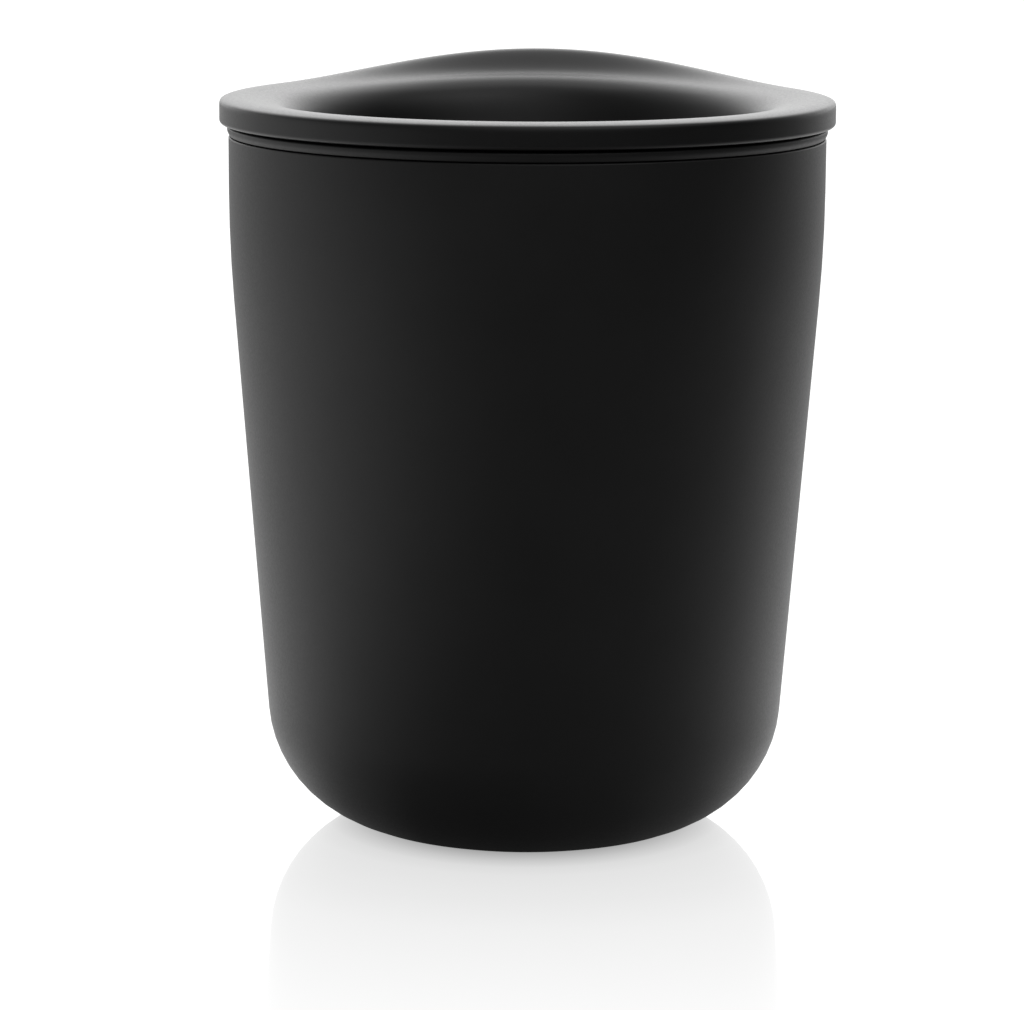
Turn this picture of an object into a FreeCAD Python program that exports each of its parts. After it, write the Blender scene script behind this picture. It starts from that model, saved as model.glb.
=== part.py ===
import FreeCAD, Part
import math
import os
from FreeCAD import Vector

# Double-wall drinking tumbler with a press-in lid. Millimetres, +Z up.
# The origin is the centre of the base where the cup stands.
# The drinking lip of the lid is on the +Y side.

# Whole object
LID_RADIUS = 46.0
SHELL_RADIUS = 44.65
JOINT_Z = 104.87            # middle of the shadow gap between shell and rim band
JOINT_GAP = 0.14
RIM_Z = 106.37              # top of the cup without its lid
FLANGE_Z = 106.72           # underside of the lid flange
CREST_Z = 110.41            # top of the lid flange at its lowest, opposite the lip
FIT_GAP = 0.05              # clearance of parts that fit inside one another

# Outer shell
TAPER = math.radians(4.42)
TAPER_CORNER_Z = 88.64      # where the upright wall and the tapered wall would cross
BEND_RADIUS = 221.7
FOOT_RADIUS = 18.8          # round edge between wall and base
SHELL_WALL = 2.0
SHELL_FLOOR = 2.6
SHELL_EDGE = 0.25

# Non-slip pad under the base
PAD_RADIUS = 17.0
PAD_DEPTH = 1.0
PAD_PROUD = 0.20

# Steel liner
LINER_WALL = 0.6
LINER_MOUTH_RADIUS = 40.9
LINER_INSET = 5.6           # between the shell's and the liner's outer faces, below the shoulder
LINER_FLOOR_Z = 5.6
LINER_FOOT_RADIUS = 13.4
LINER_LIP_RADIUS = 43.3
SHOULDER_TOP_Z = 95.5
SHOULDER_LOW_Z = 90.5
SHOULDER_BEND = 5.0
MOUTH_EDGE = 1.2

# Rim band and the seal under it
BAND_RADIUS = 44.84
BAND_LOW_RADIUS = 44.50
BAND_SHELF_Z = 105.60       # below this the band draws in towards the joint
BAND_EDGE = 0.30
TONGUE_FOOT_Z = 101.50
SEAL_HEIGHT = 1.30

# Lid cover
FLANGE_EDGE = 0.6
SEAT_INNER = 41.2           # the ring under the flange that rests on the steel rim
SEAT_OUTER = 43.2
SEAT_STEP = 0.30
DISH_FLOOR_Z = 101.50
DISH_FLOOR_RADIUS = 31.2
DISH_WALL_TOP = 36.2        # outer face of the dish wall, at the flange and at its foot
DISH_WALL_LOW = 35.3
COVER_FLOOR = 1.8
RIM_LEAN = 0.50             # the whole rim climbs this much from front to lip
LIP_RISE = 4.14
LIP_HALF_ANGLE = math.radians(61)
SKIN_STATIONS = 72
JOIN_TOLERANCE = 1e-4

# Openings in the lid
SIP_RADIUS = 28.0           # distance of the sip slot's middle from the axis
SIP_HALF_WIDTH = 2.8
SIP_HALF_ANGLE = math.radians(13)
SIP_EDGE = 0.5
VENT_RADIUS = 1.0
VENT_Y = -27.0

# Lid plug and gasket
PLUG_RADIUS = 40.25
PLUG_SKIRT_INNER = 37.6
PLUG_FLOOR = 2.0
PLUG_EDGE = 1.2
GROOVE_RADIUS = 39.1
GROOVE_LOW_Z = 99.9
GROOVE_TOP_Z = 102.9
FIN_RADIUS = LINER_MOUTH_RADIUS - FIT_GAP
FIN_TIP = 0.30
FIN_SLOPE = 0.45

PLUG_TOP_Z = DISH_FLOOR_Z - COVER_FLOOR
PLUG_FOOT_Z = PLUG_TOP_Z - PLUG_FLOOR


def at(radius, height):
    """A point of a section in the XZ plane."""
    return Vector(radius, 0, height)


def rounded_edges(corners):
    """Edges of a closed section: each corner is (radius, height) or (radius, height, rounding)."""
    count = len(corners)
    starts = []
    ends = []
    arcs = []
    for index, corner in enumerate(corners):
        here = at(corner[0], corner[1])
        rounding = corner[2] if len(corner) > 2 else 0
        before = at(*corners[index - 1][:2])
        after = at(*corners[(index + 1) % count][:2])
        back = (before - here).normalize()
        ahead = (after - here).normalize()
        if not rounding:
            starts.append(here)
            ends.append(here)
            arcs.append(None)
            continue
        half = back.getAngle(ahead) / 2
        reach = rounding / math.tan(half)
        bisector = (back + ahead).normalize()
        starts.append(here + back * reach)
        ends.append(here + ahead * reach)
        arcs.append(here + bisector * (rounding / math.sin(half) - rounding))
    edges = []
    for index in range(count):
        if arcs[index] is not None:
            edges.append(Part.Arc(starts[index], arcs[index], ends[index]).toShape())
        following = starts[(index + 1) % count]
        if (following - ends[index]).Length > 1e-6:
            edges.append(Part.LineSegment(ends[index], following).toShape())
    return edges


def turned(corners):
    """Solid of revolution about Z from a closed section."""
    section = Part.Face(Part.Wire(Part.__sortEdges__(rounded_edges(corners))))
    return section.revolve(Vector(0, 0, 0), Vector(0, 0, 1), 360)


def wall_corners(inset, floor_z):
    """Floor corner and bend corner of the tumbler's wall, moved inwards by inset."""
    bend = (SHELL_RADIUS - inset, TAPER_CORNER_Z + inset * math.tan(TAPER / 2))
    drop = TAPER_CORNER_Z - floor_z
    foot = (SHELL_RADIUS - inset / math.cos(TAPER) - drop * math.tan(TAPER), floor_z)
    return foot, bend


def make_outer_shell():
    outer_foot, outer_bend = wall_corners(0, PAD_PROUD)
    inner_foot, inner_bend = wall_corners(SHELL_WALL, PAD_PROUD + SHELL_FLOOR)
    top = JOINT_Z - JOINT_GAP / 2
    recess_radius = PAD_RADIUS + FIT_GAP
    recess_top = PAD_PROUD + PAD_DEPTH
    return turned([
        (0, recess_top),
        (recess_radius, recess_top),
        (recess_radius, PAD_PROUD),
        (*outer_foot, FOOT_RADIUS),
        (*outer_bend, BEND_RADIUS),
        (SHELL_RADIUS, top, SHELL_EDGE),
        (SHELL_RADIUS - SHELL_WALL, top),
        (*inner_bend, BEND_RADIUS - SHELL_WALL),
        (*inner_foot, FOOT_RADIUS - SHELL_WALL),
        (0, PAD_PROUD + SHELL_FLOOR),
    ])


def make_base_pad():
    top = PAD_PROUD + PAD_DEPTH
    return turned([(0, 0), (PAD_RADIUS, 0, 0.3), (PAD_RADIUS, top), (0, top)])


def make_inner_liner():
    def side(offset):
        """Wall corners from floor to mouth, offset inwards from the liner's outer face."""
        foot, _ = wall_corners(LINER_INSET + offset, LINER_FLOOR_Z + offset)
        low_drop = TAPER_CORNER_Z - SHOULDER_LOW_Z
        inset = (LINER_INSET + offset) / math.cos(TAPER)
        low_radius = SHELL_RADIUS - inset - low_drop * math.tan(TAPER)
        mouth = LINER_MOUTH_RADIUS + LINER_WALL - offset
        return [
            (*foot, LINER_FOOT_RADIUS - offset),
            (low_radius, SHOULDER_LOW_Z, SHOULDER_BEND - offset),
            (mouth, SHOULDER_TOP_Z, SHOULDER_BEND + offset),
        ]

    outside = side(0)
    inside = side(LINER_WALL)
    return turned([
        (0, LINER_FLOOR_Z),
        *outside,
        (LINER_MOUTH_RADIUS + LINER_WALL, RIM_Z - LINER_WALL, MOUTH_EDGE - LINER_WALL),
        (LINER_LIP_RADIUS, RIM_Z - LINER_WALL),
        (LINER_LIP_RADIUS, RIM_Z),
        (LINER_MOUTH_RADIUS, RIM_Z, MOUTH_EDGE),
        *reversed(inside),
        (0, LINER_FLOOR_Z + LINER_WALL),
    ])


def make_rim_band():
    bore = LINER_MOUTH_RADIUS + LINER_WALL + FIT_GAP
    tongue = SHELL_RADIUS - SHELL_WALL - FIT_GAP
    low = JOINT_Z + JOINT_GAP / 2
    ledge = RIM_Z - LINER_WALL
    lip_bend = MOUTH_EDGE - LINER_WALL
    return turned([
        (bore, TONGUE_FOOT_Z),
        (tongue, TONGUE_FOOT_Z, 0.2),
        (tongue, low),
        (BAND_LOW_RADIUS, low, 0.15),
        (BAND_RADIUS, BAND_SHELF_Z, 1.0),
        (BAND_RADIUS, RIM_Z, BAND_EDGE),
        (LINER_LIP_RADIUS + FIT_GAP, RIM_Z),
        (LINER_LIP_RADIUS + FIT_GAP, ledge),
        (bore + lip_bend, ledge),
        (bore, ledge - lip_bend),
    ])


def make_rim_seal():
    inner = LINER_MOUTH_RADIUS + LINER_WALL + FIT_GAP
    outer = SHELL_RADIUS - SHELL_WALL - FIT_GAP
    low = TONGUE_FOOT_Z - SEAL_HEIGHT
    return turned([
        (inner, low, 0.3),
        (outer, low, 0.3),
        (outer, TONGUE_FOOT_Z),
        (inner, TONGUE_FOOT_Z),
    ])


def lip_height(azimuth):
    """Height of the rim above its lowest point, which is at the front; azimuth 0 is at the lip."""
    lean = RIM_LEAN * (1 + math.cos(azimuth)) / 2
    away = abs(math.remainder(azimuth, 2 * math.pi))
    if away >= LIP_HALF_ANGLE:
        return lean
    return lean + LIP_RISE * (1 + math.cos(math.pi * away / LIP_HALF_ANGLE)) / 2


# Control rings of the lid's upper skin, from the flange's outer face over its top and into the dish:
# radius, height, and how much of the lip's rise the ring takes.
SKIN_RINGS = [
    (LID_RADIUS, FLANGE_Z + FLANGE_EDGE, 0.00),
    (LID_RADIUS, CREST_Z - 2.30, 0.15),
    (LID_RADIUS, CREST_Z - 1.55, 0.50),
    (LID_RADIUS, CREST_Z - 0.80, 0.85),
    (LID_RADIUS - 0.15, CREST_Z - 0.35, 0.97),
    (LID_RADIUS - 0.80, CREST_Z - 0.15, 1.00),
    (LID_RADIUS - 2.00, CREST_Z + 0.02, 0.95),
    (LID_RADIUS - 3.40, CREST_Z + 0.04, 0.68),
    (LID_RADIUS - 4.80, CREST_Z - 0.06, 0.40),
    (LID_RADIUS - 6.40, CREST_Z - 0.22, 0.21),
    (LID_RADIUS - 8.10, CREST_Z - 0.55, 0.23),
    (LID_RADIUS - 9.70, CREST_Z - 1.25, 0.19),
    (LID_RADIUS - 11.0, CREST_Z - 2.65, 0.15),
    (LID_RADIUS - 11.7, CREST_Z - 4.85, 0.06),
    (LID_RADIUS - 12.1, CREST_Z - 7.25, 0.00),
    (LID_RADIUS - 12.6, DISH_FLOOR_Z + 0.25, 0.00),
    (LID_RADIUS - 13.8, DISH_FLOOR_Z, 0.00),
    (DISH_FLOOR_RADIUS, DISH_FLOOR_Z, 0.00),
]


def make_skin():
    """The lid's upper skin as one smooth surface, closed round the axis."""
    step = 2 * math.pi / SKIN_STATIONS
    spread = 3 / (2 + math.cos(step))       # brings the rings of poles out to the true radius
    poles = []
    for radius, height, share in SKIN_RINGS:
        ring = []
        for station in range(SKIN_STATIONS):
            azimuth = math.pi / 2 + (station - 1) * step    # the seam lies at +X, as on turned faces
            x = radius * spread * math.sin(azimuth)
            y = radius * spread * math.cos(azimuth)
            ring.append(Vector(x, y, height + share * lip_height(azimuth)))
        poles.append(ring)
    spans = len(SKIN_RINGS) - 3
    skin = Part.BSplineSurface()
    skin.buildFromPolesMultsKnots(
        poles,
        [4] + [1] * (spans - 1) + [4],
        [1] * (SKIN_STATIONS + 1),
        list(range(spans + 1)),
        list(range(SKIN_STATIONS + 1)),
        False,
        True,
        3,
        3,
    )
    return skin.toShape()


def make_cover_blank():
    """The lid cover before its openings: smooth skin, turned underside and flat dish floor."""
    skin = make_skin()
    flat_edges = [edge for edge in skin.Edges if edge.BoundBox.ZLength < 1e-3]
    dish_rim = min(flat_edges, key=lambda edge: edge.BoundBox.ZMax)
    dish_floor = Part.Face(Part.Wire([dish_rim]))
    underside = [
        (LID_RADIUS, FLANGE_Z + FLANGE_EDGE),
        (LID_RADIUS, FLANGE_Z, FLANGE_EDGE),
        (SEAT_OUTER, FLANGE_Z),
        (SEAT_OUTER, FLANGE_Z - SEAT_STEP, 0.1),
        (SEAT_INNER, FLANGE_Z - SEAT_STEP, 0.1),
        (SEAT_INNER, FLANGE_Z),
        (DISH_WALL_TOP, FLANGE_Z),
        (DISH_WALL_LOW, PLUG_TOP_Z, 1.0),
        (0, PLUG_TOP_Z),
        (0, FLANGE_Z + FLANGE_EDGE),
    ]
    below = [dish_floor]
    for edge in rounded_edges(underside):
        middle = edge.valueAt((edge.FirstParameter + edge.LastParameter) / 2)
        on_axis = middle.x < 1e-6
        closing = middle.z > FLANGE_Z + FLANGE_EDGE - 1e-6
        if not on_axis and not closing:
            below += edge.revolve(Vector(0, 0, 0), Vector(0, 0, 1), 360).Faces
    joined, _ = skin.generalFuse(below, JOIN_TOLERANCE)     # neighbouring faces share their edges
    shell = Part.makeShell(joined.Faces)
    shell.sewShape()
    solid = Part.makeSolid(shell.Shells[0])
    if solid.Volume < 0:
        solid.reverse()
    return solid


def sip_slot(low_z, top_z):
    """Cutter for the sip slot, which follows the dish wall under the lip."""
    def on_arc(radius, azimuth):
        return Vector(radius * math.sin(azimuth), radius * math.cos(azimuth), low_z)

    inner, outer = SIP_RADIUS - SIP_HALF_WIDTH, SIP_RADIUS + SIP_HALF_WIDTH
    end = SIP_HALF_ANGLE
    past = end + SIP_HALF_WIDTH / SIP_RADIUS
    outline = [
        Part.Arc(on_arc(inner, -end), on_arc(inner, 0), on_arc(inner, end)),
        Part.Arc(on_arc(inner, end), on_arc(SIP_RADIUS, past), on_arc(outer, end)),
        Part.Arc(on_arc(outer, end), on_arc(outer, 0), on_arc(outer, -end)),
        Part.Arc(on_arc(outer, -end), on_arc(SIP_RADIUS, -past), on_arc(inner, -end)),
    ]
    wire = Part.Wire([arc.toShape() for arc in outline])
    return Part.Face(wire).extrude(Vector(0, 0, top_z - low_z))


def vent_hole(low_z, top_z):
    return Part.makeCylinder(VENT_RADIUS, top_z - low_z, Vector(0, VENT_Y, low_z))


def with_openings(solid):
    """Cuts the sip slot and the vent through the floors of the lid."""
    low, top = PLUG_FOOT_Z - 2, DISH_FLOOR_Z + 2
    return solid.cut(sip_slot(low, top)).cut(vent_hole(low, top))


def make_lid_cover():
    cover = with_openings(make_cover_blank())
    slot_edges = []
    for edge in cover.Edges:
        box = edge.BoundBox
        flat_on_floor = box.ZLength < 1e-3 and abs(box.ZMax - DISH_FLOOR_Z) < 1e-3
        beside_slot = box.YMin > SIP_RADIUS - 2 * SIP_HALF_WIDTH and box.XLength < SIP_RADIUS
        if flat_on_floor and beside_slot:
            slot_edges.append(edge)
    return cover.makeFillet(SIP_EDGE, slot_edges)


def make_lid_plug():
    return with_openings(turned([
        (0, PLUG_FOOT_Z),
        (PLUG_RADIUS, PLUG_FOOT_Z, PLUG_EDGE),
        (PLUG_RADIUS, GROOVE_LOW_Z),
        (GROOVE_RADIUS, GROOVE_LOW_Z),
        (GROOVE_RADIUS, GROOVE_TOP_Z),
        (PLUG_RADIUS, GROOVE_TOP_Z),
        (PLUG_RADIUS, FLANGE_Z),
        (PLUG_SKIRT_INNER, FLANGE_Z),
        (PLUG_SKIRT_INNER, PLUG_TOP_Z, 0.8),
        (0, PLUG_TOP_Z),
    ]))


def make_lid_gasket():
    inner = GROOVE_RADIUS + FIT_GAP
    low, top = GROOVE_LOW_Z + FIT_GAP, GROOVE_TOP_Z - FIT_GAP
    waist = PLUG_RADIUS - FIT_GAP
    middle = (low + top) / 2
    corners = [(inner, low), (waist, low)]
    for fin_foot in (low + 0.1, middle + 0.1):
        corners += [
            (FIN_RADIUS, fin_foot + FIN_SLOPE, 0.1),
            (FIN_RADIUS, fin_foot + FIN_SLOPE + FIN_TIP, 0.1),
            (waist, fin_foot + 2 * FIN_SLOPE),
        ]
        if fin_foot < middle:
            corners.append((waist, middle + 0.1))
    corners += [(waist, top), (inner, top)]
    return turned(corners)


MAKERS = {
    "outer_shell": make_outer_shell,
    "base_pad": make_base_pad,
    "inner_liner": make_inner_liner,
    "rim_band": make_rim_band,
    "rim_seal": make_rim_seal,
    "lid_cover": make_lid_cover,
    "lid_plug": make_lid_plug,
    "lid_gasket": make_lid_gasket,
}

os.makedirs("parts", exist_ok=True)
for node, make in MAKERS.items():
    shape = make()
    print(node, "valid", shape.isValid(), "solids", len(shape.Solids), "volume", round(shape.Volume, 1))
    shape.exportStep("parts/" + node + ".step")
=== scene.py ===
import math

import bmesh
import bpy
from mathutils import Matrix, Vector


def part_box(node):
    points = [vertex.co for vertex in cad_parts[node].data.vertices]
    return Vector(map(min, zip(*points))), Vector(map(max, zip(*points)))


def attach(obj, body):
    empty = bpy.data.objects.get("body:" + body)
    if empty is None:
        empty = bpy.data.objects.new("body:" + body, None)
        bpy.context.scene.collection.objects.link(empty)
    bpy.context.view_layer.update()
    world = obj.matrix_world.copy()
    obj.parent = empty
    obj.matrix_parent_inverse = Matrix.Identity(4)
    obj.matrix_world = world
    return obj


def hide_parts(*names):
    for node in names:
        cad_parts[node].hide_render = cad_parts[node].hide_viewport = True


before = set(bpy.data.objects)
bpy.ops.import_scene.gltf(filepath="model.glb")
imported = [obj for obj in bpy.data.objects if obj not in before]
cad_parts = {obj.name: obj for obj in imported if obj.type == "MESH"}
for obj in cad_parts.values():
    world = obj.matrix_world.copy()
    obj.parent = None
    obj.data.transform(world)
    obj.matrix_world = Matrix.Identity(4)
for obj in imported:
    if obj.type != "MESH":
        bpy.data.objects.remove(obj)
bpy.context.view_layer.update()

# The tumbler's looks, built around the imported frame. Sizes are in millimetres and the scene is in
# metres, so MM turns one into the other. The lid's drinking lip is on the +Y side.
MM = 0.001

AROUND = 288                        # vertices round every turned piece
ARC_STEP = math.radians(7)          # longest step along a rounded edge
SMOOTH_ANGLE = math.radians(38)     # edges sharper than this stay crisp
WELD_DISTANCE = 1e-7                # in metres
ON_AXIS = 1e-6                      # a section's point nearer the axis than this lies on it

# ---------------------------------------------------------------- sizes, in millimetres
shell_low, shell_high = (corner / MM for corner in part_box("outer_shell"))
liner_low, liner_high = (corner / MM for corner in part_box("inner_liner"))
band_low, band_high = (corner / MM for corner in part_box("rim_band"))
cover_low, _ = (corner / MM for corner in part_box("lid_cover"))
plug_low, _ = (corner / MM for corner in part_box("lid_plug"))
gasket_low, gasket_high = (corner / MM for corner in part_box("lid_gasket"))
pad_low, pad_high = (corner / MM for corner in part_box("base_pad"))

SHELL_RADIUS = 44.65
SHELL_WALL = 2.0
SHELL_FLOOR = 2.6
SHELL_EDGE = 0.25
TAPER = math.radians(4.42)
TAPER_CORNER_Z = 88.64
BEND_RADIUS = 221.7
FOOT_RADIUS = 18.8

GROOVE_DEPTH = 0.35         # grip grooves under the base pad
GROOVE_HALF_WIDTH = 0.45
GROOVE_PITCH = 2.4
GROOVE_BEND = 0.08
PAD_MARGIN = 1.5            # plain ring outside the grooves
PAD_EDGE = 0.3

LINER_WALL = 0.6
LINER_MOUTH_RADIUS = 40.9
LINER_INSET = 5.6
LINER_FOOT_RADIUS = 13.4
LINER_LIP_RADIUS = 43.3
SHOULDER_TOP_Z = 95.5
SHOULDER_LOW_Z = 90.5
SHOULDER_BEND = 5.0
MOUTH_EDGE = 1.2

BAND_RADIUS = 44.84
BAND_LOW_RADIUS = 44.50
BAND_SHELF_Z = 105.60
BAND_UNDER_Z = 104.94
BAND_SHELF_BEND = 1.0
BAND_EDGE = 0.30

LID_RADIUS = 45.99          # a hair inside the CAD's lid, so that no facet stands proud
CREST_Z = 110.41
FLANGE_Z = 106.72
FLANGE_EDGE = 0.6
SEAT_INNER = 41.2           # the ring under the flange that rests on the steel rim
SEAT_OUTER = 43.2
SEAT_STEP = 0.30
DISH_FLOOR_Z = 101.50
DISH_FLOOR_RADIUS = 31.2
DISH_WALL_TOP = 36.2        # outer face of the dish wall, at the flange and at its foot
DISH_WALL_LOW = 35.3
DISH_WALL_BEND = 1.0
LIP_RISE = 4.13
RIM_LEAN = 0.50             # the whole rim climbs this much from front to lip
LIP_HALF_ANGLE = math.radians(61)
NET_STEP = math.radians(5)  # between the stations of the lid's control net

SIP_RADIUS = 28.0
SIP_HALF_WIDTH = 2.8
SIP_HALF_ANGLE = math.radians(13)
SIP_EDGE = 0.5
VENT_RADIUS = 1.0
VENT_Y = -27.0
VENT_EDGE = 0.25

PLUG_RADIUS = 40.25
PLUG_SKIRT_INNER = 37.6
PLUG_FOOT_EDGE = 1.2
PLUG_FLOOR_BEND = 0.8
SEAL_GROOVE_RADIUS = 39.1
SEAL_GROOVE_LOW_Z = 99.9
SEAL_GROOVE_TOP_Z = 102.9
FIN_LIFT = 0.1              # from the gasket's foot or middle to the fin above it
FIN_SLOPE = 0.45
FIN_TIP = 0.30
FIT_GAP = 0.05

TINY_EDGE = 0.1             # roundings of small edges
SMALL_EDGE = 0.15
SOFT_EDGE = 0.2
STEEL_EDGE = 0.25


# ---------------------------------------------------------------- mesh helpers
def section(corners, closed=False):
    """Points of a section, from corners that are (radius, height) or (radius, height, rounding)."""
    points = []
    count = len(corners)
    for index, corner in enumerate(corners):
        here = Vector(corner[:2])
        rounding = corner[2] if len(corner) > 2 else 0
        at_end = not closed and index in (0, count - 1)
        if not rounding or at_end:
            points.append(here)
            continue
        back = (Vector(corners[index - 1][:2]) - here).normalized()
        ahead = (Vector(corners[(index + 1) % count][:2]) - here).normalized()
        half = back.angle(ahead) / 2
        middle = here + (back + ahead).normalized() * (rounding / math.sin(half))
        first = here + back * (rounding / math.tan(half))
        last = here + ahead * (rounding / math.tan(half))
        sweep = math.pi - 2 * half
        steps = max(3, math.ceil(sweep / ARC_STEP))
        start = first - middle
        end = last - middle
        for step in range(steps + 1):
            part = step / steps
            weight_start = math.sin((1 - part) * sweep) / math.sin(sweep)
            weight_end = math.sin(part * sweep) / math.sin(sweep)
            points.append(middle + start * weight_start + end * weight_end)
    return points


def spot_at(bm, radius, azimuth, height):
    """New vertex at a radius from the axis and an azimuth counted from +Y towards +X."""
    x = radius * math.sin(azimuth)
    y = radius * math.cos(azimuth)
    return bm.verts.new((x * MM, y * MM, height * MM))


def lathe(bm, points, closed=False):
    """Turns the section's points about Z. Returns the rings of vertices, of one on the axis."""
    angles = [2 * math.pi * spot / AROUND for spot in range(AROUND)]
    rings = []
    for point in points:
        if point.x < ON_AXIS:
            rings.append([spot_at(bm, 0, 0, point.y)])
        else:
            rings.append([spot_at(bm, point.x, angle, point.y) for angle in angles])
    pairs = list(zip(rings, rings[1:]))
    if closed:
        pairs.append((rings[-1], rings[0]))
    for lower, upper in pairs:
        bridge(bm, lower, upper)
    return rings


def bridge(bm, lower, upper):
    """Faces between two rings of vertices, where either may be a single vertex on the axis."""
    count = max(len(lower), len(upper))
    for spot in range(count):
        following = (spot + 1) % count
        if len(lower) == 1:
            bm.faces.new((lower[0], upper[following], upper[spot]))
        elif len(upper) == 1:
            bm.faces.new((lower[spot], lower[following], upper[0]))
        else:
            bm.faces.new((lower[spot], lower[following], upper[following], upper[spot]))


def plate(bm, loops, facing):
    """Flat face between an outer loop and the loops of its holes."""
    edges = []
    for loop in loops:
        for spot, vertex in enumerate(loop):
            other = loop[(spot + 1) % len(loop)]
            edges.append(bm.edges.get((vertex, other)) or bm.edges.new((vertex, other)))
    bmesh.ops.triangle_fill(bm, use_beauty=True, edges=edges, normal=(0, 0, facing))


def ring_at(bm, outline, height):
    return [bm.verts.new((x * MM, y * MM, height * MM)) for x, y in outline]


def finish_piece(name, bm, material, body, slot, *nodes):
    """Turns the mesh into a piece that rides on its body and stands for its CAD node."""
    bmesh.ops.remove_doubles(bm, verts=bm.verts, dist=WELD_DISTANCE)
    bmesh.ops.recalc_face_normals(bm, faces=bm.faces)
    mesh = bpy.data.meshes.new(name)
    bm.to_mesh(mesh)
    bm.free()
    mesh.shade_smooth()
    mesh.set_sharp_from_angle(angle=SMOOTH_ANGLE)
    mesh.materials.append(material)
    piece = bpy.data.objects.new(name, mesh)
    bpy.context.scene.collection.objects.link(piece)
    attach(piece, body)
    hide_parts(*nodes)


# ---------------------------------------------------------------- materials
def new_material(name):
    material = bpy.data.materials.new(name)
    material.use_nodes = True
    tree = material.node_tree
    shader = tree.nodes["Principled BSDF"]
    place = tree.nodes.new("ShaderNodeTexCoord")
    return material, tree, shader, place


def noise(tree, place, scale, detail=3.0, roughness=0.55, stretch=None):
    """Noise over the object's own coordinates; scale is in features per metre."""
    texture = tree.nodes.new("ShaderNodeTexNoise")
    texture.inputs["Scale"].default_value = scale
    texture.inputs["Detail"].default_value = detail
    texture.inputs["Roughness"].default_value = roughness
    source = place.outputs["Object"]
    if stretch:
        mapping = tree.nodes.new("ShaderNodeMapping")
        mapping.inputs["Scale"].default_value = stretch
        tree.links.new(source, mapping.inputs["Vector"])
        source = mapping.outputs["Vector"]
    tree.links.new(source, texture.inputs["Vector"])
    return texture.outputs["Fac"]


def ramp(tree, source, stops):
    """Colour or value ramp; stops are (position, value or colour)."""
    node = tree.nodes.new("ShaderNodeValToRGB")
    elements = node.color_ramp.elements
    elements[0].position, elements[1].position = stops[0][0], stops[-1][0]
    for position, _ in stops[1:-1]:
        elements.new(position)
    for element, (_, value) in zip(elements, stops):
        element.color = (*value, 1) if isinstance(value, tuple) else (value, value, value, 1)
    tree.links.new(source, node.inputs["Fac"])
    return node.outputs["Color"]


def vary(tree, source, low, high):
    """Value or colour that runs from low to high over the middle of a noise's range."""
    return ramp(tree, source, [(0.3, low), (0.7, high)])


def bump(tree, height, strength, distance, before=None):
    """Normal bent by a height; distance is the depth of the relief in metres."""
    node = tree.nodes.new("ShaderNodeBump")
    node.inputs["Strength"].default_value = strength
    node.inputs["Distance"].default_value = distance
    tree.links.new(height, node.inputs["Height"])
    if before is not None:
        tree.links.new(before, node.inputs["Normal"])
    return node.outputs["Normal"]


def moulded_black(name, shade, rough):
    """Black moulded plastic with a fine eroded grain, faint flow marks and uneven dullness."""
    material, tree, shader, place = new_material(name)
    flow = noise(tree, place, scale=90, detail=2.0)
    grain = noise(tree, place, scale=7000, detail=2.0)
    speckle = noise(tree, place, scale=2600, detail=1.0)
    low = tuple(part * 0.86 for part in shade)
    high = tuple(part * 1.16 for part in shade)
    tree.links.new(vary(tree, flow, low, high), shader.inputs["Base Color"])
    dullness = vary(tree, speckle, rough - 0.03, rough + 0.03)
    tree.links.new(dullness, shader.inputs["Roughness"])
    soft = bump(tree, flow, strength=0.25, distance=0.00010)
    fine = bump(tree, grain, strength=0.45, distance=0.000020, before=soft)
    tree.links.new(fine, shader.inputs["Normal"])
    return material


def brushed_steel(name):
    """Steel brushed round the axis: fine rings round wall and floor, broken up into streaks."""
    material, tree, shader, place = new_material(name)
    shader.inputs["Metallic"].default_value = 1.0
    shader.inputs["Anisotropic"].default_value = 0.5
    around = tree.nodes.new("ShaderNodeTangent")
    around.direction_type = "RADIAL"
    around.axis = "Z"
    tree.links.new(around.outputs["Tangent"], shader.inputs["Tangent"])
    apart = tree.nodes.new("ShaderNodeSeparateXYZ")
    tree.links.new(place.outputs["Object"], apart.inputs["Vector"])
    flat = tree.nodes.new("ShaderNodeCombineXYZ")
    tree.links.new(apart.outputs["X"], flat.inputs["X"])
    tree.links.new(apart.outputs["Y"], flat.inputs["Y"])
    radius = tree.nodes.new("ShaderNodeVectorMath")
    radius.operation = "LENGTH"
    tree.links.new(flat.outputs["Vector"], radius.inputs[0])
    turned = tree.nodes.new("ShaderNodeCombineXYZ")
    tree.links.new(radius.outputs["Value"], turned.inputs["X"])
    tree.links.new(apart.outputs["Z"], turned.inputs["Y"])
    rings = tree.nodes.new("ShaderNodeTexNoise")
    rings.inputs["Scale"].default_value = 1800
    rings.inputs["Detail"].default_value = 3.0
    tree.links.new(turned.outputs["Vector"], rings.inputs["Vector"])
    streaks = noise(tree, place, scale=2200, detail=2.0, stretch=(0.04, 0.04, 1.0))
    dull = (0.53, 0.525, 0.515)
    bright = (0.64, 0.635, 0.63)
    tree.links.new(vary(tree, streaks, dull, bright), shader.inputs["Base Color"])
    tree.links.new(vary(tree, streaks, 0.36, 0.28), shader.inputs["Roughness"])
    relief = bump(tree, rings.outputs["Fac"], strength=0.25, distance=0.00001)
    tree.links.new(relief, shader.inputs["Normal"])
    return material


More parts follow.
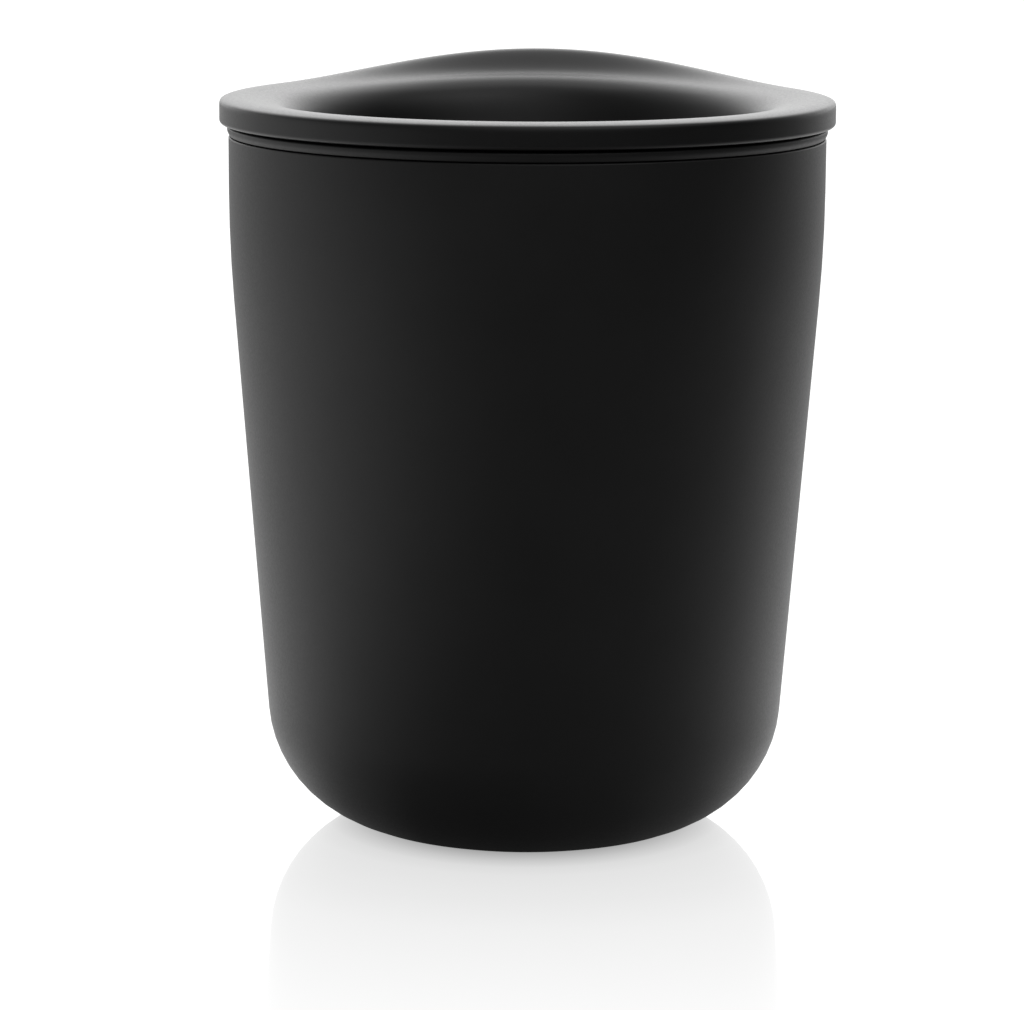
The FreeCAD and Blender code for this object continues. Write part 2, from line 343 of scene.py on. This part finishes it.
def silicone(name, shade, rough):
    """Dull silicone with dust-fine grain and slight mottling."""
    material, tree, shader, place = new_material(name)
    mottle = noise(tree, place, scale=160, detail=3.0)
    grain = noise(tree, place, scale=4200, detail=2.0)
    low = tuple(part * 0.8 for part in shade)
    high = tuple(part * 1.25 for part in shade)
    shader.inputs["Sheen Weight"].default_value = 0.15
    shader.inputs["Sheen Roughness"].default_value = 0.5
    tree.links.new(vary(tree, mottle, low, high), shader.inputs["Base Color"])
    dullness = vary(tree, grain, rough - 0.05, rough + 0.05)
    tree.links.new(dullness, shader.inputs["Roughness"])
    relief = bump(tree, grain, strength=0.4, distance=0.00002)
    tree.links.new(relief, shader.inputs["Normal"])
    return material


shell_black = moulded_black("shell_black", (0.0090, 0.0090, 0.0092), 0.42)
lid_black = moulded_black("lid_black", (0.0090, 0.0090, 0.0092), 0.32)
steel = brushed_steel("liner_steel")
seal_rubber = silicone("seal_silicone", (0.045, 0.045, 0.047), 0.55)
pad_rubber = silicone("pad_silicone", (0.018, 0.018, 0.019), 0.62)


# ---------------------------------------------------------------- cup
def wall_corners(inset, floor_z):
    """Floor corner and bend corner of the tumbler's wall, moved inwards by inset."""
    bend = (SHELL_RADIUS - inset, TAPER_CORNER_Z + inset * math.tan(TAPER / 2))
    drop = TAPER_CORNER_Z - floor_z
    foot = (SHELL_RADIUS - inset / math.cos(TAPER) - drop * math.tan(TAPER), floor_z)
    return foot, bend


def make_outer_shell():
    low, top = shell_low.z, shell_high.z
    outer_foot, outer_bend = wall_corners(0, low)
    inner_foot, inner_bend = wall_corners(SHELL_WALL, low + SHELL_FLOOR)
    recess = pad_high.x + FIT_GAP
    bm = bmesh.new()
    lathe(bm, section([
        (0, pad_high.z),
        (recess, pad_high.z),
        (recess, low, SMALL_EDGE),
        (*outer_foot, FOOT_RADIUS),
        (*outer_bend, BEND_RADIUS),
        (SHELL_RADIUS, top, SHELL_EDGE),
        (SHELL_RADIUS - SHELL_WALL, top, SOFT_EDGE),
        (*inner_bend, BEND_RADIUS - SHELL_WALL),
        (*inner_foot, FOOT_RADIUS - SHELL_WALL),
        (0, low + SHELL_FLOOR),
    ]))
    finish_piece("outer_shell_moulding", bm, shell_black, "cup", "shell_plastic", "outer_shell")


def make_base_pad():
    """Pad with turned grip grooves on its underside."""
    profile = ((-1, 0), (-0.5, GROOVE_DEPTH), (0.5, GROOVE_DEPTH), (1, 0))
    corners = [(0, pad_low.z)]
    middle = GROOVE_PITCH * 1.5
    while middle < pad_high.x - PAD_MARGIN:
        for offset, height in profile:
            radius = middle + offset * GROOVE_HALF_WIDTH
            corners.append((radius, pad_low.z + height, GROOVE_BEND))
        middle += GROOVE_PITCH
    corners += [(pad_high.x, pad_low.z, PAD_EDGE), (pad_high.x, pad_high.z), (0, pad_high.z)]
    bm = bmesh.new()
    lathe(bm, section(corners))
    finish_piece("base_grip_pad", bm, pad_rubber, "cup", "pad_silicone", "base_pad")


def liner_side(offset):
    """Wall corners of the liner from floor to mouth, offset inwards from its outer face."""
    foot, _ = wall_corners(LINER_INSET + offset, liner_low.z + offset)
    drop = TAPER_CORNER_Z - SHOULDER_LOW_Z
    inset = (LINER_INSET + offset) / math.cos(TAPER)
    low_radius = SHELL_RADIUS - inset - drop * math.tan(TAPER)
    return [
        (*foot, LINER_FOOT_RADIUS - offset),
        (low_radius, SHOULDER_LOW_Z, SHOULDER_BEND - offset),
        (LINER_MOUTH_RADIUS + LINER_WALL - offset, SHOULDER_TOP_Z, SHOULDER_BEND + offset),
    ]


def make_inner_liner():
    top = liner_high.z
    bm = bmesh.new()
    lathe(bm, section([
        (0, liner_low.z),
        *liner_side(0),
        (LINER_MOUTH_RADIUS + LINER_WALL, top - LINER_WALL, MOUTH_EDGE - LINER_WALL),
        (LINER_LIP_RADIUS, top - LINER_WALL, SMALL_EDGE),
        (LINER_LIP_RADIUS, top, STEEL_EDGE),
        (LINER_MOUTH_RADIUS, top, MOUTH_EDGE),
        *reversed(liner_side(LINER_WALL)),
        (0, liner_low.z + LINER_WALL),
    ]))
    finish_piece("steel_liner", bm, steel, "cup", "liner_steel", "inner_liner")


def make_rim_band():
    bore = LINER_MOUTH_RADIUS + LINER_WALL + FIT_GAP
    tongue = SHELL_RADIUS - SHELL_WALL - FIT_GAP
    ledge = band_high.z - LINER_WALL
    lip_bend = MOUTH_EDGE - LINER_WALL
    bm = bmesh.new()
    lathe(bm, section([
        (bore, band_low.z),
        (tongue, band_low.z, SOFT_EDGE),
        (tongue, BAND_UNDER_Z),
        (BAND_LOW_RADIUS, BAND_UNDER_Z, SMALL_EDGE),
        (BAND_RADIUS, BAND_SHELF_Z, BAND_SHELF_BEND),
        (BAND_RADIUS, band_high.z, BAND_EDGE),
        (LINER_LIP_RADIUS + FIT_GAP, band_high.z, TINY_EDGE),
        (LINER_LIP_RADIUS + FIT_GAP, ledge),
        (bore + lip_bend, ledge),
        (bore, ledge - lip_bend),
    ], closed=True), closed=True)
    finish_piece("rim_collar", bm, shell_black, "cup", "shell_plastic", "rim_band")


# ---------------------------------------------------------------- lid
def lip_height(azimuth):
    """Height of the rim above its lowest point, which is at the front; azimuth 0 is at the lip."""
    lean = RIM_LEAN * (1 + math.cos(azimuth)) / 2
    away = abs(math.remainder(azimuth, 2 * math.pi))
    if away >= LIP_HALF_ANGLE:
        return lean
    return lean + LIP_RISE * (1 + math.cos(math.pi * away / LIP_HALF_ANGLE)) / 2


def smooth_lip_height(azimuth):
    """The same height, smoothed as a closed cubic spline over the lid's control net smooths it."""
    before = lip_height(azimuth - NET_STEP)
    after = lip_height(azimuth + NET_STEP)
    return (before + 4 * lip_height(azimuth) + after) / 6


# Control rings of the lid's upper skin, from the flange's outer face over its top and into the
# dish: radius, height, and how much of the lip's rise the ring takes.
SKIN_RINGS = [
    (LID_RADIUS, FLANGE_Z + FLANGE_EDGE, 0.00),
    (LID_RADIUS, CREST_Z - 2.30, 0.15),
    (LID_RADIUS, CREST_Z - 1.55, 0.50),
    (LID_RADIUS, CREST_Z - 0.80, 0.85),
    (LID_RADIUS - 0.15, CREST_Z - 0.35, 0.97),
    (LID_RADIUS - 0.80, CREST_Z - 0.15, 1.00),
    (LID_RADIUS - 2.00, CREST_Z + 0.02, 0.95),
    (LID_RADIUS - 3.40, CREST_Z + 0.04, 0.68),
    (LID_RADIUS - 4.80, CREST_Z - 0.06, 0.40),
    (LID_RADIUS - 6.40, CREST_Z - 0.22, 0.21),
    (LID_RADIUS - 8.10, CREST_Z - 0.55, 0.23),
    (LID_RADIUS - 9.70, CREST_Z - 1.25, 0.19),
    (LID_RADIUS - 11.0, CREST_Z - 2.65, 0.15),
    (LID_RADIUS - 11.7, CREST_Z - 4.85, 0.06),
    (LID_RADIUS - 12.1, CREST_Z - 7.25, 0.00),
    (LID_RADIUS - 12.6, DISH_FLOOR_Z + 0.25, 0.00),
    (LID_RADIUS - 13.8, DISH_FLOOR_Z, 0.00),
    (DISH_FLOOR_RADIUS, DISH_FLOOR_Z, 0.00),
]
STEPS_PER_SPAN = 8


def blend_rings(position):
    """Radius, height and lip share at a position along the spline over the control rings."""
    spans = len(SKIN_RINGS) - 3
    knots = [0] * 3 + list(range(spans + 1)) + [spans] * 3
    cell = min(int(position), spans - 1) + 3
    points = [Vector(SKIN_RINGS[cell - 3 + offset]) for offset in range(4)]
    for level in range(1, 4):
        for offset in range(3, level - 1, -1):
            left = knots[cell - 3 + offset]
            right = knots[cell + 1 + offset - level]
            part = (position - left) / (right - left)
            points[offset] = points[offset - 1].lerp(points[offset], part)
    return points[3]


def make_skin(bm):
    """The lid's upper skin. Returns its inner ring of vertices, round the dish floor."""
    rings = []
    for step in range((len(SKIN_RINGS) - 3) * STEPS_PER_SPAN + 1):
        radius, height, share = blend_rings(step / STEPS_PER_SPAN)
        ring = []
        for spot in range(AROUND):
            azimuth = 2 * math.pi * spot / AROUND
            ring.append(spot_at(bm, radius, azimuth, height + share * smooth_lip_height(azimuth)))
        rings.append(ring)
    for lower, upper in zip(rings, rings[1:]):
        bridge(bm, lower, upper)
    return rings[-1]


def sip_side(radius, azimuth):
    """Long side of the sip slot: an arc about the axis from -azimuth to azimuth."""
    steps = 14
    turns = [azimuth * (2 * step / steps - 1) for step in range(steps + 1)]
    return [(radius * math.sin(turn), radius * math.cos(turn)) for turn in turns]


def sip_end(azimuth, half):
    """Round end of the slot: a half circle about the end of its middle line."""
    steps = 16
    outwards = Vector((math.sin(azimuth), math.cos(azimuth)))
    centre = outwards * SIP_RADIUS
    side = math.copysign(half, azimuth)
    across = outwards * side
    along = Vector((math.cos(azimuth), -math.sin(azimuth))) * side
    turns = [math.pi * step / steps for step in range(1, steps)]
    return [tuple(centre + across * math.cos(turn) + along * math.sin(turn)) for turn in turns]


def sip_outline(grow):
    """Outline of the sip slot, grown outwards by grow."""
    half = SIP_HALF_WIDTH + grow
    return [
        *sip_side(SIP_RADIUS + half, SIP_HALF_ANGLE),
        *sip_end(SIP_HALF_ANGLE, half),
        *sip_side(SIP_RADIUS - half, -SIP_HALF_ANGLE),
        *sip_end(-SIP_HALF_ANGLE, half),
    ]


def vent_outline(grow):
    """Outline of the vent, grown outwards by grow."""
    steps = 32
    turns = [2 * math.pi * step / steps for step in range(steps)]
    radius = VENT_RADIUS + grow
    return [(radius * math.sin(turn), VENT_Y + radius * math.cos(turn)) for turn in turns]


def hole(bm, outline, edge, top, bottom):
    """Walls of a hole with a rounded upper edge. Returns its upper and lower loops."""
    steps = 6 if edge else 0
    loops = []
    for step in range(steps + 1):
        turn = math.pi / 2 * step / max(steps, 1)
        grow = edge * (1 - math.sin(turn))
        loops.append(ring_at(bm, outline(grow), top - edge * (1 - math.cos(turn))))
    loops.append(ring_at(bm, outline(0), bottom))
    for upper, lower in zip(loops, loops[1:]):
        bridge(bm, lower, upper)
    return loops[0], loops[-1]


def make_lid_cover():
    floor_low = cover_low.z
    bm = bmesh.new()
    dish_rim = make_skin(bm)
    sip_top, sip_low = hole(bm, sip_outline, SIP_EDGE, DISH_FLOOR_Z, floor_low)
    vent_top, vent_low = hole(bm, vent_outline, VENT_EDGE, DISH_FLOOR_Z, floor_low)
    plate(bm, [dish_rim, sip_top, vent_top], 1)
    underside = section([
        (LID_RADIUS, FLANGE_Z + FLANGE_EDGE + 1),
        (LID_RADIUS, FLANGE_Z, FLANGE_EDGE),
        (SEAT_OUTER, FLANGE_Z),
        (SEAT_OUTER, FLANGE_Z - SEAT_STEP, TINY_EDGE),
        (SEAT_INNER, FLANGE_Z - SEAT_STEP, TINY_EDGE),
        (SEAT_INNER, FLANGE_Z),
        (DISH_WALL_TOP, FLANGE_Z),
        (DISH_WALL_LOW, floor_low, DISH_WALL_BEND),
        (DISH_FLOOR_RADIUS, floor_low),
    ])
    rings = lathe(bm, underside[1:])     # the first point only aims the flange's edge
    plate(bm, [rings[-1], sip_low, vent_low], -1)
    finish_piece("lid_cover_moulding", bm, lid_black, "lid", "lid_plastic", "lid_cover")


def make_lid_plug():
    foot = plug_low.z
    floor_top = cover_low.z
    bm = bmesh.new()
    sip_top, sip_low = hole(bm, sip_outline, 0, floor_top, foot)
    vent_top, vent_low = hole(bm, vent_outline, 0, floor_top, foot)
    rings = lathe(bm, section([
        (DISH_FLOOR_RADIUS, foot),
        (PLUG_RADIUS, foot, PLUG_FOOT_EDGE),
        (PLUG_RADIUS, SEAL_GROOVE_LOW_Z, SMALL_EDGE),
        (SEAL_GROOVE_RADIUS, SEAL_GROOVE_LOW_Z, TINY_EDGE),
        (SEAL_GROOVE_RADIUS, SEAL_GROOVE_TOP_Z, TINY_EDGE),
        (PLUG_RADIUS, SEAL_GROOVE_TOP_Z, SMALL_EDGE),
        (PLUG_RADIUS, FLANGE_Z),
        (PLUG_SKIRT_INNER, FLANGE_Z),
        (PLUG_SKIRT_INNER, floor_top, PLUG_FLOOR_BEND),
        (DISH_FLOOR_RADIUS, floor_top),
    ]))
    plate(bm, [rings[0], sip_low, vent_low], -1)
    plate(bm, [rings[-1], sip_top, vent_top], 1)
    finish_piece("lid_plug_moulding", bm, lid_black, "lid", "lid_plastic", "lid_plug")


def fin_corners(foot, waist):
    """Corners of one fin, which stands out from the gasket's waist to the liner's wall."""
    return [
        (gasket_high.x, foot + FIN_SLOPE, TINY_EDGE),
        (gasket_high.x, foot + FIN_SLOPE + FIN_TIP, TINY_EDGE),
        (waist, foot + 2 * FIN_SLOPE, TINY_EDGE),
    ]


def make_lid_gasket():
    """Silicone ring with two fins that wipe the liner's wall."""
    inner = SEAL_GROOVE_RADIUS + FIT_GAP
    waist = PLUG_RADIUS - FIT_GAP
    low, top = gasket_low.z, gasket_high.z
    middle = (low + top) / 2
    low_foot = low + FIN_LIFT
    high_foot = middle + FIN_LIFT
    corners = [
        (inner, low, TINY_EDGE),
        (waist, low),
        *fin_corners(low_foot, waist),
        (waist, high_foot),
        *fin_corners(high_foot, waist),
        (waist, top),
        (inner, top, TINY_EDGE),
    ]
    bm = bmesh.new()
    lathe(bm, section(corners, closed=True), closed=True)
    finish_piece("lid_gasket_ring", bm, seal_rubber, "gasket", "seal_silicone", "lid_gasket")


make_outer_shell()
make_base_pad()
make_inner_liner()
make_rim_band()
make_lid_cover()
make_lid_plug()
make_lid_gasket()
seal_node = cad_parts["rim_seal"]
seal_node.data.materials.clear()
seal_node.data.materials.append(seal_rubber)


# ---------------------------------------------------------------- camera
CAMERA_AZIMUTH = math.radians(2.5)  # round from the front towards +X
CAMERA_DISTANCE = 0.5771            # from the object's axis
CAMERA_HEIGHT = 0.1560
CAMERA_PITCH = 0.18418              # radians down from level
CAMERA_AIM_LEFT = 0.003440
CAMERA_ROLL = 0.005877
LENS_MM = 135.44
SENSOR_MM = 36.0


def make_camera():
    """A long lens a little above the rim, opposite the lid's lip and slightly to the right."""
    outwards = Vector((math.sin(CAMERA_AZIMUTH), -math.cos(CAMERA_AZIMUTH), 0))
    right = Vector((math.cos(CAMERA_AZIMUTH), math.sin(CAMERA_AZIMUTH), 0))
    down = Vector((0, 0, -1))
    forward = -outwards * math.cos(CAMERA_PITCH) + down * math.sin(CAMERA_PITCH)
    up = right.cross(forward)
    turned = Matrix.Rotation(CAMERA_AIM_LEFT, 3, up)
    forward = turned @ forward
    right = turned @ right
    rolled_right = right * math.cos(CAMERA_ROLL) + up * math.sin(CAMERA_ROLL)
    rolled_up = up * math.cos(CAMERA_ROLL) - right * math.sin(CAMERA_ROLL)
    data = bpy.data.cameras.new("camera")
    data.lens = LENS_MM
    data.sensor_width = SENSOR_MM
    data.clip_start = 0.01
    data.clip_end = 20.0
    camera = bpy.data.objects.new("camera", data)
    bpy.context.scene.collection.objects.link(camera)
    axes = Matrix((rolled_right, rolled_up, -forward)).transposed()
    place = outwards * CAMERA_DISTANCE - down * CAMERA_HEIGHT
    camera.matrix_world = Matrix.Translation(place) @ axes.to_4x4()
    bpy.context.scene.camera = camera


# ---------------------------------------------------------------- studio
# Brightness of the studio round the object, in steps of 30 degrees. The first is straight behind
# the object and the next ones go round towards +X: white behind, shaded in front, and a fill high
# up in front on the right.
HORIZON_GLOW = (1.60, 1.35, 0.32, 0.03, 0.03, 0.12, 0.16, 0.08, 0.28, 0.58, 0.70, 1.20)
LOW_GLOW = (2.00, 1.30, 0.30, 0.02, 0.05, 0.32, 0.40, 0.20, 0.06, 0.20, 0.50, 1.60)
HIGH_GLOW = (2.60, 1.50, 0.75, 0.30, 0.65, 0.95, 0.55, 0.15, 0.18, 0.50, 1.00, 1.90)
TOP_GLOW = 0.55
# The floor's glow that lights the object and shows in its reflections, in the same steps round:
# painted light, low in front of the object as painted shade.
FAR_FLOOR_GLOW = (0.77, 0.57, 0.12, 0.03, 0.04, 0.03, 0.04, 0.12, 0.38, 0.62, 0.52, 0.55)
MIDDLE_FLOOR_GLOW = (0.99, 0.97, 0.86, 0.33, 0.19, 0.17, 0.14, 0.34, 0.69, 0.85, 0.93, 1.00)
NEAR_FLOOR_GLOW = (1.21, 1.29, 1.26, 0.77, 0.28, 0.14, 0.10, 0.11, 0.33, 0.94, 1.16, 1.17)
SWEEP_WHITE = 1.2

# Elevations in degrees over which one height of glow gives way to the next
HORIZON_TO_LOW = (2, 16)
LOW_TO_HIGH = (16, 38)
HIGH_TO_TOP = (42, 72)

# Distances from the object's axis over which one ring of the floor's glow gives way to the next
NEAR_TO_MIDDLE = (0.05, 0.20)
MIDDLE_TO_FAR = (0.20, 0.80)

# The floor as the camera sees it: a painted shadow under the foot, and a mirror image that fades
# outwards
FLOOR_SIZE = 8.0
PAINTED_SHADE_REACH = (0.020, 0.045)
PAINTED_FOOT_SHADOW = [(0.10, 0.50), (0.28, 0.76), (0.42, 0.92), (0.60, 0.98), (1.0, 1.0)]
MIRROR_REACH = (0.025, 0.40)
MIRROR_FADE = [(0.0, 0.36), (0.06, 0.32), (0.10, 0.27), (0.20, 0.20), (1.0, 0.0)]
MIRROR_ROUGHNESS = 0.03
# Painted shade: the floor's glow is dimmed round the foot, where the object would shade the floor.
LIT_SHARE = (0.25, 1.0)     # how much of the floor's glow lights the object, at the foot and beyond

WATTS_PER_RADIANCE = 4      # for each square metre of an area light


def feed(tree, source, socket):
    """Gives a socket its source, which is either a number or another socket."""
    if isinstance(source, (int, float)):
        socket.default_value = source
    else:
        tree.links.new(source, socket)


def value_of(tree, operation, *sources):
    """Maths on numbers and sockets."""
    node = tree.nodes.new("ShaderNodeMath")
    node.operation = operation
    for socket, source in zip(node.inputs, sources):
        feed(tree, source, socket)
    return node.outputs["Value"]


def spread(tree, source, low, high, first=0.0, last=1.0):
    """Moves a value from the range low to high over to first to last, and keeps it inside."""
    node = tree.nodes.new("ShaderNodeMapRange")
    node.inputs["From Min"].default_value = low
    node.inputs["From Max"].default_value = high
    node.inputs["To Min"].default_value = first
    node.inputs["To Max"].default_value = last
    tree.links.new(source, node.inputs["Value"])
    return node.outputs["Result"]


def blend(tree, amount, first, second):
    """first where amount is 0, second where it is 1."""
    node = tree.nodes.new("ShaderNodeMix")
    node.data_type = "FLOAT"
    tree.links.new(amount, node.inputs["Factor"])
    feed(tree, first, node.inputs["A"])
    feed(tree, second, node.inputs["B"])
    return node.outputs["Result"]


def turn_round(tree, apart):
    """How far round a point lies: 0 straight behind the object, 1 after a turn by way of +X."""
    angle = value_of(tree, "ARCTAN2", apart.outputs["X"], apart.outputs["Y"])
    return value_of(tree, "FRACT", value_of(tree, "DIVIDE", angle, 2 * math.pi))


def glow_round(tree, turn, levels):
    """Glow that runs through the levels in one turn round the object."""
    stops = [(spot / len(levels), level) for spot, level in enumerate(levels)]
    return ramp(tree, turn, stops + [(1.0, levels[0])])


def for_camera(tree, seen, other):
    """seen where the camera looks straight at it, other where it only lights or is reflected."""
    path = tree.nodes.new("ShaderNodeLightPath")
    mix = tree.nodes.new("ShaderNodeMixShader")
    tree.links.new(path.outputs["Is Camera Ray"], mix.inputs["Fac"])
    tree.links.new(other, mix.inputs[1])
    tree.links.new(seen, mix.inputs[2])
    return mix.outputs["Shader"]


def make_world():
    world = bpy.data.worlds.new("studio")
    bpy.context.scene.world = world
    world.use_nodes = True
    tree = world.node_tree
    tree.nodes.clear()
    place = tree.nodes.new("ShaderNodeTexCoord")
    apart = tree.nodes.new("ShaderNodeSeparateXYZ")
    tree.links.new(place.outputs["Generated"], apart.inputs["Vector"])
    turn = turn_round(tree, apart)
    lift = value_of(tree, "ARCSINE", apart.outputs["Z"])
    degrees = value_of(tree, "MULTIPLY", lift, 180 / math.pi)
    horizon, low, high = (
        glow_round(tree, turn, levels) for levels in (HORIZON_GLOW, LOW_GLOW, HIGH_GLOW)
    )
    glow = blend(tree, spread(tree, degrees, *HORIZON_TO_LOW), horizon, low)
    glow = blend(tree, spread(tree, degrees, *LOW_TO_HIGH), glow, high)
    glow = blend(tree, spread(tree, degrees, *HIGH_TO_TOP), glow, TOP_GLOW)
    room = tree.nodes.new("ShaderNodeBackground")
    tree.links.new(glow, room.inputs["Color"])
    white = tree.nodes.new("ShaderNodeBackground")
    white.inputs["Strength"].default_value = SWEEP_WHITE
    output = tree.nodes.new("ShaderNodeOutputWorld")
    tree.links.new(for_camera(tree, white.outputs[0], room.outputs[0]), output.inputs["Surface"])


def make_floor():
    """White glossy sweep: it glows, darker in front as painted shade, has a painted shadow round
    the foot, and mirrors the object faintly.
    """
    bm = bmesh.new()
    bmesh.ops.create_grid(bm, x_segments=1, y_segments=1, size=FLOOR_SIZE / 2)
    mesh = bpy.data.meshes.new("studio_floor")
    bm.to_mesh(mesh)
    bm.free()
    floor = bpy.data.objects.new("studio_floor", mesh)
    bpy.context.scene.collection.objects.link(floor)
    material = bpy.data.materials.new("white_sweep")
    material.use_nodes = True
    tree = material.node_tree
    tree.nodes.clear()
    place = tree.nodes.new("ShaderNodeTexCoord")
    apart = tree.nodes.new("ShaderNodeSeparateXYZ")
    tree.links.new(place.outputs["Object"], apart.inputs["Vector"])
    away = tree.nodes.new("ShaderNodeVectorMath")
    away.operation = "LENGTH"
    tree.links.new(place.outputs["Object"], away.inputs[0])
    distance = away.outputs["Value"]

    ground = tree.nodes.new("ShaderNodeEmission")
    ground.inputs["Strength"].default_value = SWEEP_WHITE
    # Painted shadow: the white that the camera sees darkens towards the foot.
    shade = ramp(tree, spread(tree, distance, *PAINTED_SHADE_REACH), PAINTED_FOOT_SHADOW)
    tree.links.new(shade, ground.inputs["Color"])
    mirror = tree.nodes.new("ShaderNodeBsdfGlossy")
    mirror.inputs["Roughness"].default_value = MIRROR_ROUGHNESS
    fade = ramp(tree, spread(tree, distance, *MIRROR_REACH), MIRROR_FADE)
    seen = tree.nodes.new("ShaderNodeMixShader")
    tree.links.new(fade, seen.inputs["Fac"])
    tree.links.new(ground.outputs[0], seen.inputs[1])
    tree.links.new(mirror.outputs[0], seen.inputs[2])

    # Painted light: the glow that lights the object and shows in its reflections, with painted
    # shade in front.
    turn = turn_round(tree, apart)
    near, middle, far = (
        glow_round(tree, turn, levels)
        for levels in (NEAR_FLOOR_GLOW, MIDDLE_FLOOR_GLOW, FAR_FLOOR_GLOW)
    )
    glow = blend(tree, spread(tree, distance, *NEAR_TO_MIDDLE), near, middle)
    glow = blend(tree, spread(tree, distance, *MIDDLE_TO_FAR), glow, far)
    lit = tree.nodes.new("ShaderNodeEmission")
    tree.links.new(glow, lit.inputs["Color"])
    # Painted shade round the foot: the glow is dimmed there.
    strength = spread(tree, distance, *PAINTED_SHADE_REACH, *LIT_SHARE)
    tree.links.new(strength, lit.inputs["Strength"])
    output = tree.nodes.new("ShaderNodeOutputMaterial")
    tree.links.new(for_camera(tree, seen.outputs[0], lit.outputs[0]), output.inputs["Surface"])
    mesh.materials.append(material)


def make_light(name, place, target, size, radiance):
    """Rectangular soft light; radiance is how bright its face is, with the white sweep near 1."""
    width, depth = size
    data = bpy.data.lights.new(name, "AREA")
    data.shape = "RECTANGLE"
    data.size = width
    data.size_y = depth
    data.energy = radiance * WATTS_PER_RADIANCE * width * depth
    light = bpy.data.objects.new(name, data)
    bpy.context.scene.collection.objects.link(light)
    back = (Vector(place) - Vector(target)).normalized()
    light.rotation_euler = back.to_track_quat("Z", "Y").to_euler()
    light.location = place


make_camera()
make_world()
make_floor()
make_light(
    "overhead_softbox",
    place=(0.0, 0.30, 1.15),
    target=(0, 0, 0.10),
    size=(1.0, 1.0),
    radiance=0.5,
)
bpy.context.scene.view_settings.view_transform = "Standard"
